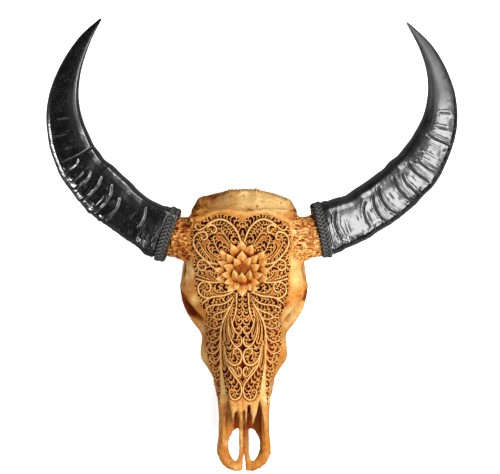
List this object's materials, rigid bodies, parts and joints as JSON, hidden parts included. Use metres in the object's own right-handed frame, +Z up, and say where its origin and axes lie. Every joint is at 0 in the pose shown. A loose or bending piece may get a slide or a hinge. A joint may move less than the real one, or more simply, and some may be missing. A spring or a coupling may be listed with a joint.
{
  "type": "carved water buffalo skull",
  "caption": "Water buffalo skull without its lower jaw, with long crescent horns bound by braided bands at the base, lying face up on its cheek teeth.",
  "frame": {"origin": "on the floor, midway between the outermost edges of the two horns and between the horn tips and the muzzle", "axes": "+Y from the muzzle towards the back of the head and the horn tips, +Z up from the teeth to the forehead, +X to the right of a viewer who looks down on the face with the muzzle at the bottom"},
  "size_m": [0.6999, 0.7731, 0.2003],
  "materials": {
    "bone": "dry old bone, waxed golden tan with pale cream and red-brown patches, carved over the face",
    "horn": "polished black horn with growth rings and a grey sheen",
    "cord": "braided dark cord, matt"
  },
  "bodies": {
    "root": {"cranium": "bone", "horn_left": "horn", "horn_right": "horn", "band_left": "cord", "band_right": "cord"}
  },
  "joints": []
}
